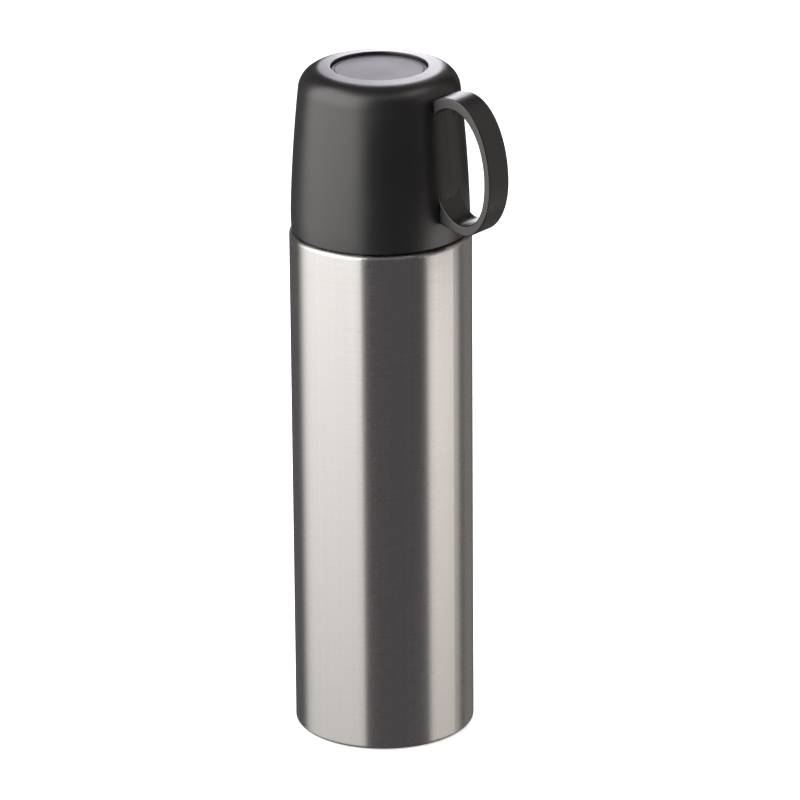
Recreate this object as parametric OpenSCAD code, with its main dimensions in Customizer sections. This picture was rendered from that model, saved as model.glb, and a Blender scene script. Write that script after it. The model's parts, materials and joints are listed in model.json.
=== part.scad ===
// Vacuum flask with a handled drinking cup and a push-button pouring stopper.
// Millimetres, +Z up. The origin is the middle of the base, and the cup's handle points along +X.

/* [Flask body] */
// Outside diameter of the steel body
body_d = 70; // [68:0.5:74]
// Height of the steel shoulder that the cup stands over
shoulder_z = 202.8; // [150:0.2:260]
// Thickness of both steel walls
steel_t = 0.5; // [0.5:0.05:0.7]
// Width of the vacuum gap between the two walls
vacuum_gap = 2.8; // [2.4:0.1:3.4]
// Outside rounding of the shoulder and of the bottom edge
edge_r = 1.5; // [1:0.1:2.5]

/* [Cup] */
// Height of the cup from its mouth to the top ring
cup_h = 64; // [58:0.1:72]
// How far the cup's wall stands in from the steel body at the mouth
cup_step = 0.6; // [0.4:0.1:1]
// How much the wall draws in, as a radius, from the mouth to the top corner
cup_draw = 4.4; // [3:0.1:4.8]
// Rounding between the cup's wall and its top
cup_corner_r = 8.8; // [7:0.1:9.5]
// Radius of the round recess in the cup's top
recess_r = 18.4; // [14:0.1:20]
// Depth of the recess above its inset disc
recess_depth = 1.3; // [0.8:0.1:2]
// Wall of the outer cup
cup_wall = 1.8; // [1.5:0.1:1.8]
// Width of the handle's band
handle_w = 12; // [8:0.1:16]

/* [Stopper] */
// Rise in one full turn of the two-start threads on the cup and on the stopper
thread_lead = 8; // [7.6:0.1:9]
// Travel of the push button
button_travel = 4; // [2.5:0.1:4.2]
// Travel of the release tab
tab_travel = 1.4; // [0.8:0.1:1.4]
// Radius of the push button
button_r = 15; // [13.5:0.1:15]

/* [Hidden] */
$fn = 128;

// Colours
steel = [0.74, 0.73, 0.72];
copper = [0.78, 0.50, 0.36];
black = [0.08, 0.08, 0.085];
grey = [0.35, 0.35, 0.37];
silicone = [0.80, 0.80, 0.78];

// Heights, all from the shoulder
mouth_z = shoulder_z + 11.6;
cup_z = shoulder_z + 0.8;
cup_top_z = cup_z + cup_h;
deck_z = mouth_z + 0.4;
deck_t = 2.4;
deck_top_z = deck_z + deck_t;
skirt_z = shoulder_z + 1;
plug_z = shoulder_z - 14.6;
cap_z = plug_z - 4.5;
well_top_z = deck_top_z + 12.2;
button_top_z = deck_top_z + 12.8;

// Radii of the body, from the outside in
body_r = body_d / 2;
bottle_r = body_r - 2 * steel_t - vacuum_gap;

// Radii of the neck and of the stopper, from the axis out
stem_r = 2.2;
guide_r = 2.3;
hub_r = 5.4;
core_in_r = 8.5;
core_r = 10;
throat_r = 21.35;
gasket_r = 21.3;
plug_in_r = 20.4;
plug_r = 22.5;
plug_thread_r = 23.5;
neck_crest_r = 22.85;
neck_in_r = 23.9;
neck_out_r = 26.2;
skirt_in_r = 27;
skirt_r = 29.4;
skirt_thread_r = 30.5;
cup_crest_r = 29.75;
liner_in_r = 30.9;
fit = 0.05;

// Screw threads: two starts, so the ridges lie half a lead apart
thread_pitch = thread_lead / 2;
thread_root_w = 1.9;
thread_crest_w = 1;
steps_per_turn = 40;

// ---------- Shared shapes ----------

// Closed skin over a list of rings that all hold the same number of points
module skin(rings) {
    k = len(rings[0]);
    last = len(rings) - 1;
    sides = [for (i = [0:last - 1], j = [0:k - 1])
        let (a = i * k + j, b = i * k + (j + 1) % k)
        each [[a, a + k, b + k], [a, b + k, b]]];
    caps = [[for (j = [0:k - 1]) j], [for (j = [k - 1:-1:0]) last * k + j]];
    polyhedron([for (ring = rings) each ring], concat(sides, caps));
}

// One thread ridge on a wall of radius wall_r, standing out to crest_r or in to it.
// root is how far the ridge is sunk into the wall. Its two ends fade away.
module thread_ridge(wall_r, crest_r, z, turns, start, root = 0.4) {
    steps = round(turns * steps_per_turn);
    out = crest_r > wall_r ? 1 : -1;
    root_r = wall_r - out * root;
    rings = [for (i = [0:steps])
        let (a = start + i * 360 / steps_per_turn,
             h = z + thread_lead * i / steps_per_turn,
             fade = min(1, (i + 1) / 5, (steps - i + 1) / 5),
             r = wall_r + (crest_r - wall_r) * fade)
        [for (p = [[root_r, -thread_root_w / 2], [r, -thread_crest_w / 2],
                   [r, thread_crest_w / 2], [root_r, thread_root_w / 2]])
            [p[0] * cos(a), p[0] * sin(a), h - out * p[1]]]];
    skin(rings);
}

// Two ridges, half a turn apart
module two_start_thread(wall_r, crest_r, z, turns, root = 0.4) {
    for (start = [0, 180]) thread_ridge(wall_r, crest_r, z, turns, start, root);
}

// Coil spring along +Z, of coil radius r and wire radius wire, with flat closed ends
module coil_spring(r, wire, length, turns) {
    per_turn = 20;
    rings = [for (i = [0:turns * per_turn])
        let (a = i * 360 / per_turn,
             t = i / (turns * per_turn),
             h = wire + (length - 2 * wire) * (t < 0.5 ? 1 : -1) * pow(abs(t < 0.5 ? 2 * t : 2 - 2 * t), 1.3) / 2
                 + (t < 0.5 ? 0 : length - 2 * wire))
        [for (b = [0:45:315])
            let (q = r + wire * cos(b))
            [q * cos(a), q * sin(a), h - wire * sin(b)]]];
    skin(rings);
}

// Ring of rectangular section between two radii
module ring(r_in, r_out, z, h) {
    translate([0, 0, z]) difference() {
        cylinder(r = r_out, h = h);
        translate([0, 0, -1]) cylinder(r = r_in, h = h + 2);
    }
}

// Rectangle of the half plane that rotate_extrude turns round the axis
module bar(r_in, r_out, z_low, z_high) {
    translate([r_in, z_low]) square([r_out - r_in, z_high - z_low]);
}

// Rectangle from the axis to radius r, with both outer corners rounded
module rounded_block(r, z_low, z_high, low_round, high_round) {
    difference() {
        bar(0, r, z_low, z_high);
        translate([r - low_round, z_low]) corner_cut(low_round, -1);
        translate([r - high_round, z_high]) corner_cut(high_round, 1);
    }
}

// What a rounding of radius r takes off an outer corner. up is 1 at a top corner and -1 at a low one
module corner_cut(r, up) {
    difference() {
        translate([0, up > 0 ? -r : -1]) square([r + 1, r + 1]);
        translate([0, -up * r]) circle(r);
    }
}

// ---------- Flask body ----------

// Solid outline of the flask's body and neck, drawn in by inset
module body_outline(inset) {
    rounded_block(body_r - inset, 0.4 + inset, shoulder_z - inset, edge_r - inset / 2, edge_r - inset / 2);
    bar(0, neck_out_r - inset, shoulder_z - inset - 1, mouth_z - steel_t);
}

module outer_shell() {
    bottom_hole_r = body_r - 4;
    color(steel) rotate_extrude() difference() {
        body_outline(0);
        body_outline(steel_t);
        bar(-1, bottom_hole_r, -1, 2);
        bar(-1, neck_out_r - steel_t, shoulder_z - 5, mouth_z + 5);
    }
}

// How far a corner between an upright wall and a cone moves along Z when the outline grows by 1.
// dr and dz are the cone's rise away from the wall
function mitre(dr, dz) = tan(atan2(dr, dz) / 2);

// Solid outline of the inner bottle, grown by out: body, shoulder cone, throat and neck
module bottle_outline(out) {
    low = 8;
    cone_z = cap_z - 12.5;
    throat_z = cap_z - 1;
    seat_z = plug_z - 1.6;
    seat_h = 1.8;
    shoulder_mitre = out * mitre(bottle_r - throat_r, throat_z - cone_z);
    seat_mitre = out * mitre(neck_in_r - throat_r, seat_h);
    top_z = mouth_z + (out > 0 ? 0 : 1);
    rounded_block(bottle_r + out, low - out, cone_z, 6 + out, 0.01);
    polygon([
        [0, cone_z - 1], [bottle_r + out, cone_z - 1], [bottle_r + out, cone_z + shoulder_mitre],
        [throat_r + out, throat_z + shoulder_mitre], [throat_r + out, seat_z - seat_mitre],
        [neck_in_r + out, seat_z + seat_h - seat_mitre], [neck_in_r + out, top_z], [0, top_z]
    ]);
}

module inner_bottle() {
    color(steel) union() {
        rotate_extrude() difference() {
            union() {
                bottle_outline(steel_t);
                bar(0, neck_out_r, mouth_z - steel_t, mouth_z);
            }
            bottle_outline(0);
        }
        two_start_thread(neck_in_r, neck_crest_r, plug_z + 4 + thread_pitch / 2, 1.1, 0.25);
    }
}

module radiation_foil() {
    color(copper) ring(bottle_r + steel_t + 0.1, bottle_r + steel_t + 0.25, 14, cap_z - 30);
}

// The getter pill and its clip hang under the inner bottle
getter_x = 12;
bottle_floor_z = 8 - steel_t;

module getter() {
    color(grey) translate([getter_x, 0, bottle_floor_z - 2.3]) cylinder(r = 4, h = 2.2);
}

module getter_clip() {
    color(steel) translate([getter_x, 0, 0]) {
        ring(4.1, 4.5, bottle_floor_z - 2.8, 2.8);
        ring(2.6, 4.5, bottle_floor_z - 2.8, 0.4);
        ring(4.5, 6.5, bottle_floor_z - 0.4, 0.4);
    }
}

module base_plate() {
    top = 1 + steel_t;
    rise = 1.2;
    color(steel) rotate_extrude() difference() {
        union() {
            bar(0, body_r - edge_r, 1, top);
            bar(0, 5.6, 1, top + rise);
        }
        bar(-1, 5, 0, top + rise - steel_t);
        bar(-1, 1, 0, top + rise + 1);
    }
}

module vacuum_seal_bead() {
    ceiling = 1 + 1.2;
    color(grey) rotate_extrude() {
        bar(0, 1, ceiling - 0.2, ceiling + steel_t);
        rounded_block(3.2, ceiling - 0.9, ceiling, 0.7, 0.01);
    }
}

module base_pad() {
    pad_r = body_r - 4.4;
    color(black) rotate_extrude() difference() {
        rounded_block(pad_r, 0, 1, 0.4, 0.01);
        for (r = [pad_r - 3, pad_r - 6]) bar(r - 0.8, r, -1, 0.3);
    }
}

// ---------- Stopper ----------

tab_w = 8;
tab_h = 4;
tab_z = deck_top_z + 0.3;
well_in_r = 22.5;
well_r = 25;
post_x = button_r + 0.5;
rib_count = 24;

module stopper_housing() {
    color(black) difference() {
        union() {
            rotate_extrude() {
                bar(skirt_in_r, skirt_r, skirt_z, deck_top_z);
                bar(core_r + fit, skirt_r, deck_z, deck_top_z);
                bar(plug_in_r, plug_r, plug_z, deck_top_z);
                difference() {
                    bar(well_in_r, well_r, deck_z, well_top_z);
                    translate([well_r - 1, well_top_z]) corner_cut(1, 1);
                }
            }
            for (i = [0:rib_count - 1]) rotate((i + 0.5) * 360 / rib_count)
                translate([well_r - 0.4, 0, deck_top_z - 0.5]) cylinder(r = 0.9, h = 10, $fn = 24);
            translate([post_x, -2.6, deck_top_z - 0.5]) cube([1, 5.2, tab_h + 0.5]);
            two_start_thread(plug_r, plug_thread_r, plug_z + 4, 1.1);
            two_start_thread(skirt_r, skirt_thread_r, skirt_z + 1.6, 0.55);
        }
        // Window for the release tab
        translate([well_in_r - 1, -tab_w / 2 - 0.3, deck_top_z]) cube([6, tab_w + 0.6, tab_h + 0.6]);
    }
}

// Tube that carries the liquid up, with a three-armed guide for the stem
module stopper_core() {
    top = deck_top_z + 0.5;
    color(grey) {
        ring(core_in_r, core_r, cap_z + 1.7, top - cap_z - 1.7);
        ring(guide_r, hub_r, top - 3, 3);
        for (a = [60, 180, 300]) rotate(a) translate([hub_r - 0.6, -1, top - 3]) cube([core_in_r - hub_r + 1, 2, 3]);
    }
}

module stopper_foam() {
    low = plug_z + 3.2;
    color([0.93, 0.92, 0.88]) ring(core_r + 0.1, plug_in_r - 0.1, low, deck_z - 0.1 - low);
}

module stopper_bottom_cap() {
    groove_r = gasket_r - 2.6;
    opening_r = 7.5;
    floor_z = cap_z + 1.6;
    color(grey) rotate_extrude() difference() {
        union() {
            bar(opening_r, plug_in_r + 0.2, cap_z, cap_z + 1.2);
            bar(opening_r, groove_r, cap_z, floor_z);
            bar(groove_r - 1.7, groove_r, cap_z, plug_z + 0.1);
            bar(groove_r - 1.7, plug_in_r - 0.1, plug_z + 0.1, plug_z + 3);
            bar(core_r + 0.1, core_r + 1.5, cap_z, plug_z + 1.2);
        }
        bar(plug_in_r - 1.3, plug_in_r + 1, plug_z + 0.8, plug_z + 2.2);
    }
}

module bottom_cap_o_ring() {
    color(silicone) rotate_extrude() translate([plug_in_r - 0.67, plug_z + 1.5]) circle(0.6, $fn = 32);
}

// Seal that the stopper presses into the throat of the neck
module stopper_gasket() {
    low = cap_z + 1.25;
    color(silicone) rotate_extrude() difference() {
        rounded_block(gasket_r, low, plug_z - fit, 0.8, 0.4);
        bar(-1, gasket_r - 2.55, low - 1, plug_z + 1);
    }
}

// ---------- Push button and pouring valve ----------

stem_low_z = cap_z - 3.7;
disc_low_z = cap_z - 2.4;

module push_button() {
    boss_z = deck_top_z + 7;
    skirt_low_z = deck_top_z + button_travel + 1;
    color(grey) rotate_extrude() difference() {
        union() {
            difference() {
                rounded_block(button_r, skirt_low_z, button_top_z, 0.4, 1.6);
                rounded_block(button_r - 1.8, skirt_low_z - 1, button_top_z - 2.2, 0.01, 0.8);
            }
            bar(0, stem_r + 1.8, boss_z, button_top_z - 2);
        }
        bar(-1, stem_r, boss_z - 1, button_top_z - 2.2);
        translate([0, button_top_z + 59.4]) circle(60);
    }
}

module valve_stem() {
    color(steel) rotate_extrude() {
        rounded_block(stem_r, stem_low_z, button_top_z - 2.2, 0.5, 0.01);
        bar(0, stem_r + 1.4, cap_z - fit, cap_z + 1.2);
    }
}

module valve_disc() {
    color(silicone) rotate_extrude() difference() {
        rounded_block(9.3, disc_low_z, cap_z - fit, 1, 0.3);
        bar(-1, stem_r, disc_low_z - 1, cap_z + 1);
    }
}

module valve_retainer() {
    color(steel) ring(stem_r, stem_r + 2.3, disc_low_z - 0.8, 0.8);
}

module button_spring() {
    low = deck_top_z + 0.5;
    color(steel) translate([0, 0, low]) coil_spring(4.9, 0.4, button_top_z - 2.2 - low, 5);
}

// ---------- Release tab ----------

tab_in_x = post_x + 1 + tab_travel + 0.3;
tab_out_x = well_r + tab_travel + 0.5;

module release_tab() {
    color(grey) difference() {
        union() {
            translate([tab_in_x, -tab_w / 2, tab_z]) cube([tab_out_x - tab_in_x - 1, tab_w, tab_h]);
            translate([tab_out_x - 1.5, -tab_w / 2 + 0.5, tab_z + 0.5]) cube([1.5, tab_w - 1, tab_h - 1]);
        }
        translate([tab_in_x - 1, 0, tab_z + tab_h / 2]) rotate([0, 90, 0]) cylinder(r = 1.5, h = 5, $fn = 32);
    }
}

module release_spring() {
    color(steel) translate([post_x + 1, 0, tab_z + tab_h / 2]) rotate([0, 90, 0])
        coil_spring(1.1, 0.2, tab_in_x + 4 - post_x - 1, 6);
}

// ---------- Cup ----------

cup_r = body_r - cup_step;
disc_t = 1.2;

// Outside radius of the cup's wall at height z: the draw grows towards the top,
// and the wall turns in a little over the last few millimetres at the mouth
draw_power = 1.7;
mouth_turn_h = 8;
mouth_turn_in = 0.35;
function cup_wall_r(z) = cup_r - cup_draw * pow(max(0, z - cup_z) / cup_h, draw_power)
    - mouth_turn_in * pow(max(0, 1 - (z - cup_z) / mouth_turn_h), 2);

// The wall runs smoothly into the corner's circle at corner_z, and the circle into the sloping top
corner_z = cup_top_z - 0.93 * cup_corner_r;
wall_lean = atan(cup_draw * draw_power / cup_h * pow((corner_z - cup_z) / cup_h, draw_power - 1));
corner_centre = [cup_wall_r(corner_z) - cup_corner_r * cos(wall_lean), corner_z - cup_corner_r * sin(wall_lean)];
to_rim = [corner_centre[0] - recess_r, cup_top_z - corner_centre[1]];
top_slope = atan2(to_rim[1], to_rim[0]) - asin(cup_corner_r / norm(to_rim));

// Solid outline of the cup, drawn in by inset
module cup_outline(inset = 0) {
    wall_steps = 12;
    low = inset > 0 ? cup_z - 1 : cup_z;
    edge = inset > 0 ? 0 : 0.5;
    r = cup_corner_r - inset;
    polygon([
        [0, low], [cup_wall_r(cup_z) - edge - inset, low],
        for (i = [0:wall_steps])
            let (z = cup_z + edge + (corner_z - cup_z - edge) * pow(i / wall_steps, 1.4))
            [cup_wall_r(z) - inset * cos(wall_lean), z],
        [0, corner_z]
    ]);
    translate(corner_centre) intersection() {
        circle(r);
        square(2 * cup_corner_r);
    }
    polygon([
        [0, corner_centre[1] - 1], [corner_centre[0] + 1, corner_centre[1] - 1],
        corner_centre + r * [sin(top_slope), cos(top_slope)],
        [recess_r, cup_top_z - inset / cos(top_slope)], [0, cup_top_z - inset / cos(top_slope)]
    ]);
}

module cup_shell() {
    recess_floor_z = cup_top_z - recess_depth - disc_t;
    color(black) rotate_extrude() difference() {
        cup_outline();
        difference() {
            cup_outline(cup_wall);
            bar(-1, recess_r + cup_wall, recess_floor_z - cup_wall, cup_top_z);
        }
        bar(-1, recess_r, recess_floor_z, cup_top_z + 1);
    }
}

module cup_disc() {
    low = cup_top_z - recess_depth - disc_t;
    color([0.6, 0.6, 0.62]) rotate_extrude() rounded_block(recess_r - 0.1, low, low + disc_t, 0.01, 0.3);
}

// Point at t on a cubic curve with the four control points c
function cubic(c, t) = pow(1 - t, 3) * c[0] + 3 * t * pow(1 - t, 2) * c[1]
    + 3 * t * t * (1 - t) * c[2] + pow(t, 3) * c[3];

// Control points of a quarter turn from p to q, leaving p level (or upright if upright is true).
// full is how square the turn is: 0.5523 gives an ellipse
function quarter(p, q, upright = false, full = 0.5523) = upright
    ? [p, [p[0], p[1] + full * (q[1] - p[1])], [q[0] + full * (p[0] - q[0]), q[1]], q]
    : [p, [p[0] + full * (q[0] - p[0]), p[1]], [q[0], q[1] + full * (p[1] - q[1])], q];

// The handle's side view as distances out from the axis and up from the cup's mouth
handle_outer = [
    [[29, 56.4], [32.4, 59], [35.5, 59.6], [38.8, 59.6]],
    quarter([38.8, 59.6], [57.3, 27.5]),
    quarter([57.3, 27.5], [44.5, 6.6], true),
    [[44.5, 6.6], [41.5, 6.6], [38, 8.2], [31, 9.8]]
];
handle_inner = [
    [[29, 49], [31.5, 53], [34.5, 55.4], [38.6, 55.4]],
    quarter([38.6, 55.4], [54.4, 28.6]),
    quarter([54.4, 28.6], [43.4, 10.6], true, 0.66),
    [[43.4, 10.6], [40, 10.6], [36.5, 14], [34, 20]]
];

curve_steps = 16;
function curve_points(curves) = [for (c = curves, i = [0:curve_steps - 1]) cubic(c, i / curve_steps)];
function reversed(list) = [for (i = [len(list) - 1:-1:0]) list[i]];

module cup_handle() {
    scale_z = cup_h / 64;
    shift_x = cup_r - 34.4;
    outer = concat(curve_points(handle_outer), [[30, 10]]);
    inner = concat(curve_points(handle_inner), [[33, 22], [30, 22]]);
    outline = [for (p = concat(outer, reversed(inner))) [p[0] + shift_x, cup_z + p[1] * scale_z]];
    color(black) difference() {
        rotate([90, 0, 0]) linear_extrude(handle_w, center = true) polygon(outline);
        rotate_extrude() cup_outline();
    }
}

// Inner cup: threaded mouth, a ledge for the gasket, then the drinking cup itself
liner_ledge_z = deck_top_z + 1.7;

module cup_liner() {
    wall = 1.4;
    mouth_r = cup_wall_r(cup_z) - cup_wall - 0.1;
    top_z = cup_top_z - 9;
    low_r = skirt_r;
    top_r = cup_wall_r(top_z) - cup_wall - 3;
    color(grey) {
        rotate_extrude() difference() {
            union() {
                bar(0, mouth_r, cup_z + 0.3, cup_z + 4);
                bar(0, liner_in_r + wall - 0.5, cup_z + 3, liner_ledge_z + wall);
                polygon([[0, cup_z + 4], [low_r + 0.6, cup_z + 4], [low_r + 0.6, liner_ledge_z + wall + 1],
                         [top_r + 0.6, top_z - 4], [0, top_z - 4]]);
                rounded_block(top_r + 0.6, top_z - 4.02, top_z, 0.01, 3.9);
            }
            bar(-1, liner_in_r, cup_z - 1, liner_ledge_z);
            polygon([[0, cup_z - 1], [low_r - 0.8, cup_z - 1], [low_r - 0.8, liner_ledge_z + wall + 1],
                     [top_r - 0.8, top_z - 4.5], [0, top_z - 4.5]]);
            rounded_block(top_r - 0.8, top_z - 4.52, top_z - wall, 0.01, 3);
        }
        two_start_thread(liner_in_r, cup_crest_r, skirt_z + 1.6 + thread_pitch / 2, 0.55);
    }
}

// Seal between the stopper's deck and the cup's ledge
module cup_gasket() {
    low = deck_top_z + fit;
    color(silicone) ring(skirt_r - 0.5, liner_in_r - 0.3, low, liner_ledge_z - fit - low);
}

outer_shell();
inner_bottle();
radiation_foil();
getter();
getter_clip();
base_plate();
vacuum_seal_bead();
base_pad();
stopper_housing();
stopper_core();
stopper_foam();
stopper_bottom_cap();
bottom_cap_o_ring();
stopper_gasket();
push_button();
valve_stem();
valve_disc();
valve_retainer();
button_spring();
release_tab();
release_spring();
cup_gasket();
cup_shell();
cup_handle();
cup_liner();
cup_disc();
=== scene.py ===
"""Looks for the vacuum flask: studio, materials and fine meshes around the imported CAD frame.

Pieces are drawn in millimetres in the frame's own axes and turned to metres when a mesh is made.
The handle points along +X and the camera stands between -Y and +X.
"""

import json
import math

import bmesh
import bpy
from mathutils import Matrix, Vector


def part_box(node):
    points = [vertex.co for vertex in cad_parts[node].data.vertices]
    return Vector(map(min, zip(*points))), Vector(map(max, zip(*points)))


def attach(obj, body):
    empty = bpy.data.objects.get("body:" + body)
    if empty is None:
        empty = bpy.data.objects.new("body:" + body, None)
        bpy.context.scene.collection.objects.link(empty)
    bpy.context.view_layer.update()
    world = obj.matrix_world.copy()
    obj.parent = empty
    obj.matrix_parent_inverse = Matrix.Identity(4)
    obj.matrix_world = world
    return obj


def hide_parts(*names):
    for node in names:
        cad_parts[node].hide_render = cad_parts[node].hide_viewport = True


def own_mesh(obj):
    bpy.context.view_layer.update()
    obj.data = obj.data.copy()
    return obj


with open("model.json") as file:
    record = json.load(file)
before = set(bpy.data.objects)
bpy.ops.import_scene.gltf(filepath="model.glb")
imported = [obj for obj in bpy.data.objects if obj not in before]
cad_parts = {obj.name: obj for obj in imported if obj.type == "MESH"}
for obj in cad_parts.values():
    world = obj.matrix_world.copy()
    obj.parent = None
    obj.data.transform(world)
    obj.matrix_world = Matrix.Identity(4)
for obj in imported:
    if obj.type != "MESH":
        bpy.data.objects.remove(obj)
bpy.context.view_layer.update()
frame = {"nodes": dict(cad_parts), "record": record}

MM = 0.001
RECORD = frame["record"]
BODY_OF = {node: body for body, nodes in RECORD["behaviour"]["bodies"].items() for node in nodes}
SLOT_OF = {part["node"]: part["material_slot"] for part in RECORD["subparts"]}

# ---------- Sizes in millimetres, from the frame ----------


def low_mm(node):
    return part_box(node)[0] / MM


def high_mm(node):
    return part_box(node)[1] / MM


BODY_R = high_mm("outer_shell").x
CUP_Z, CUP_TOP_Z = low_mm("cup_shell").z, high_mm("cup_shell").z
CUP_H = CUP_TOP_Z - CUP_Z
MOUTH_Z = high_mm("inner_bottle").z
DECK_Z = MOUTH_Z + 0.4  # underside of the stopper's deck
DECK_TOP_Z = DECK_Z + 2.4
PLUG_Z = low_mm("stopper_housing").z
SKIRT_Z = PLUG_Z + 15.6  # foot of the stopper's collar
CAP_Z = low_mm("stopper_bottom_cap").z
WELL_TOP_Z = high_mm("stopper_housing").z
BUTTON_TOP_Z = high_mm("push_button").z
LEDGE_Z = DECK_TOP_Z + 1.7  # ledge of the cup's liner, over its gasket
RECESS_R = high_mm("cup_disc").x + 0.1
DISC_Z = low_mm("cup_disc").z
PLUG_THREAD_Z, PLUG_TURNS = PLUG_Z + 4, 1.1
COLLAR_THREAD_Z, COLLAR_TURNS = SKIRT_Z + 1.6, 0.55
THREAD_LEAD = 8.0
THREAD_RUNOUT = 0.03  # turns by which a thread runs past each end
THREAD_FADE = 8  # how much of its height a thread gains in a turn there

# ---------- Camera ----------

CAMERA_AZIMUTH = 38.54
CAMERA_ELEVATION = 20.52
CAMERA_ROLL = -0.45
CAMERA_DISTANCE = 2.2
CAMERA_LENS = 256.2
SENSOR_WIDTH = 36
CLIP_END = 50
LOOK_AT = Vector((0.00541, 0.00431, 0.13254))


def make_camera():
    """Camera on a long lens, a little above the flask."""
    a, e, roll = (math.radians(v) for v in (CAMERA_AZIMUTH, CAMERA_ELEVATION, CAMERA_ROLL))
    back = Vector((math.sin(a) * math.cos(e), -math.cos(a) * math.cos(e), math.sin(e)))
    right = Vector((math.cos(a), math.sin(a), 0))
    up = back.cross(right)
    image_right = math.cos(roll) * right + math.sin(roll) * up
    image_up = -math.sin(roll) * right + math.cos(roll) * up
    data = bpy.data.cameras.new("camera")
    data.lens = CAMERA_LENS
    data.sensor_width = SENSOR_WIDTH
    data.clip_end = CLIP_END
    camera = bpy.data.objects.new("camera", data)
    turn = Matrix((image_right, image_up, back)).transposed().to_4x4()
    camera.matrix_world = Matrix.Translation(LOOK_AT + CAMERA_DISTANCE * back) @ turn
    bpy.context.collection.objects.link(camera)
    bpy.context.scene.camera = camera


make_camera()

# ---------- Material helpers ----------


def new_material(name, **sockets):
    """Material with one Principled shader, whose plain numbers are set on its own sockets."""
    material = bpy.data.materials.new(name)
    material.use_nodes = True
    shader = material.node_tree.nodes["Principled BSDF"]
    for socket, value in sockets.items():
        shader.inputs[socket.replace("_", " ")].default_value = value
    return material, material.node_tree, shader


def link(tree, source, target):
    tree.links.new(source, target)


def object_coords(tree, scale=(1, 1, 1)):
    """Object coordinates in metres, stretched by scale."""
    coords = tree.nodes.new("ShaderNodeTexCoord")
    mapping = tree.nodes.new("ShaderNodeMapping")
    mapping.inputs["Scale"].default_value = scale
    link(tree, coords.outputs["Object"], mapping.inputs["Vector"])
    return mapping.outputs["Vector"]


def noise(tree, scale, detail=2.0, roughness=0.5, stretch=(1, 1, 1)):
    """Noise of that many grains a metre."""
    node = tree.nodes.new("ShaderNodeTexNoise")
    node.inputs["Scale"].default_value = scale
    node.inputs["Detail"].default_value = detail
    node.inputs["Roughness"].default_value = roughness
    link(tree, object_coords(tree, stretch), node.inputs["Vector"])
    return node.outputs["Fac"]


def remap(tree, value, low, high, start=0.0, end=1.0):
    """value, from start to end, spread over low to high."""
    node = tree.nodes.new("ShaderNodeMapRange")
    node.inputs["From Min"].default_value = start
    node.inputs["From Max"].default_value = end
    node.inputs["To Min"].default_value = low
    node.inputs["To Max"].default_value = high
    link(tree, value, node.inputs["Value"])
    return node.outputs["Result"]


def ramp(tree, value, *stops):
    """Colour ramp with (position, colour) stops."""
    node = tree.nodes.new("ShaderNodeValToRGB")
    elements = node.color_ramp.elements
    while len(elements) < len(stops):
        elements.new(0.5)
    for element, (position, colour) in zip(elements, stops):
        element.position = position
        element.color = (*colour, 1)
    link(tree, value, node.inputs["Fac"])
    return node.outputs["Color"]


def combine(tree, operation, a, b):
    """Two values, or a value and a number, in one Math node."""
    node = tree.nodes.new("ShaderNodeMath")
    node.operation = operation
    for socket, value in zip(node.inputs, (a, b)):
        if isinstance(value, (int, float)):
            socket.default_value = value
        else:
            link(tree, value, socket)
    return node.outputs["Value"]


def blend_values(tree, *weighted):
    """Sum of (value, weight) pairs."""
    total = None
    for value, weight in weighted:
        part = combine(tree, "MULTIPLY", value, weight)
        total = part if total is None else combine(tree, "ADD", total, part)
    return total


def bump(tree, shader, height, distance, strength=1.0):
    """Relief of height times distance, in metres."""
    node = tree.nodes.new("ShaderNodeBump")
    node.inputs["Strength"].default_value = strength
    node.inputs["Distance"].default_value = distance
    link(tree, height, node.inputs["Height"])
    link(tree, node.outputs["Normal"], shader.inputs["Normal"])


# ---------- Materials ----------


def brushed_metal(name, light, dark, anisotropic, roughness, relief=0.000004):
    """Steel brushed round the Z axis: fine lines, with soft slow changes along the height."""
    material, tree, shader = new_material(
        name, Metallic=1.0, Anisotropic=anisotropic, Anisotropic_Rotation=0.25)
    tangent = tree.nodes.new("ShaderNodeTangent")
    tangent.direction_type = "RADIAL"
    tangent.axis = "Z"
    link(tree, tangent.outputs["Tangent"], shader.inputs["Tangent"])
    # Grains a metre along X, Y and Z. Many along Z make lines round the body, and few make upright streaks.
    fine = noise(tree, 1, 3, 0.6, (22, 22, 5200))
    coarse = noise(tree, 1, 2, 0.5, (9, 9, 900))
    upright = noise(tree, 1, 2, 0.5, (420, 420, 2.5))
    lines = blend_values(tree, (fine, 0.85), (coarse, 0.15))
    mixed = blend_values(tree, (lines, 0.65), (upright, 0.35))
    link(tree, ramp(tree, mixed, (0.32, dark), (0.68, light)), shader.inputs["Base Color"])
    link(tree, remap(tree, mixed, roughness * 1.2, roughness * 0.8, 0.3, 0.7), shader.inputs["Roughness"])
    bump(tree, shader, lines, relief)
    return material


def moulded_plastic(name, light, dark, roughness, grain, relief, **sockets):
    """Moulded plastic with a fine spark-eroded grain of that many grains a metre."""
    material, tree, shader = new_material(name, **sockets)
    cloud = noise(tree, 45, 3)
    pits = noise(tree, grain, 2, 0.6)
    mixed = blend_values(tree, (cloud, 0.5), (pits, 0.5))
    link(tree, ramp(tree, mixed, (0.35, dark), (0.65, light)), shader.inputs["Base Color"])
    link(tree, remap(tree, mixed, roughness - 0.05, roughness + 0.05, 0.35, 0.65), shader.inputs["Roughness"])
    bump(tree, shader, pits, relief)
    return material


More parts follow.
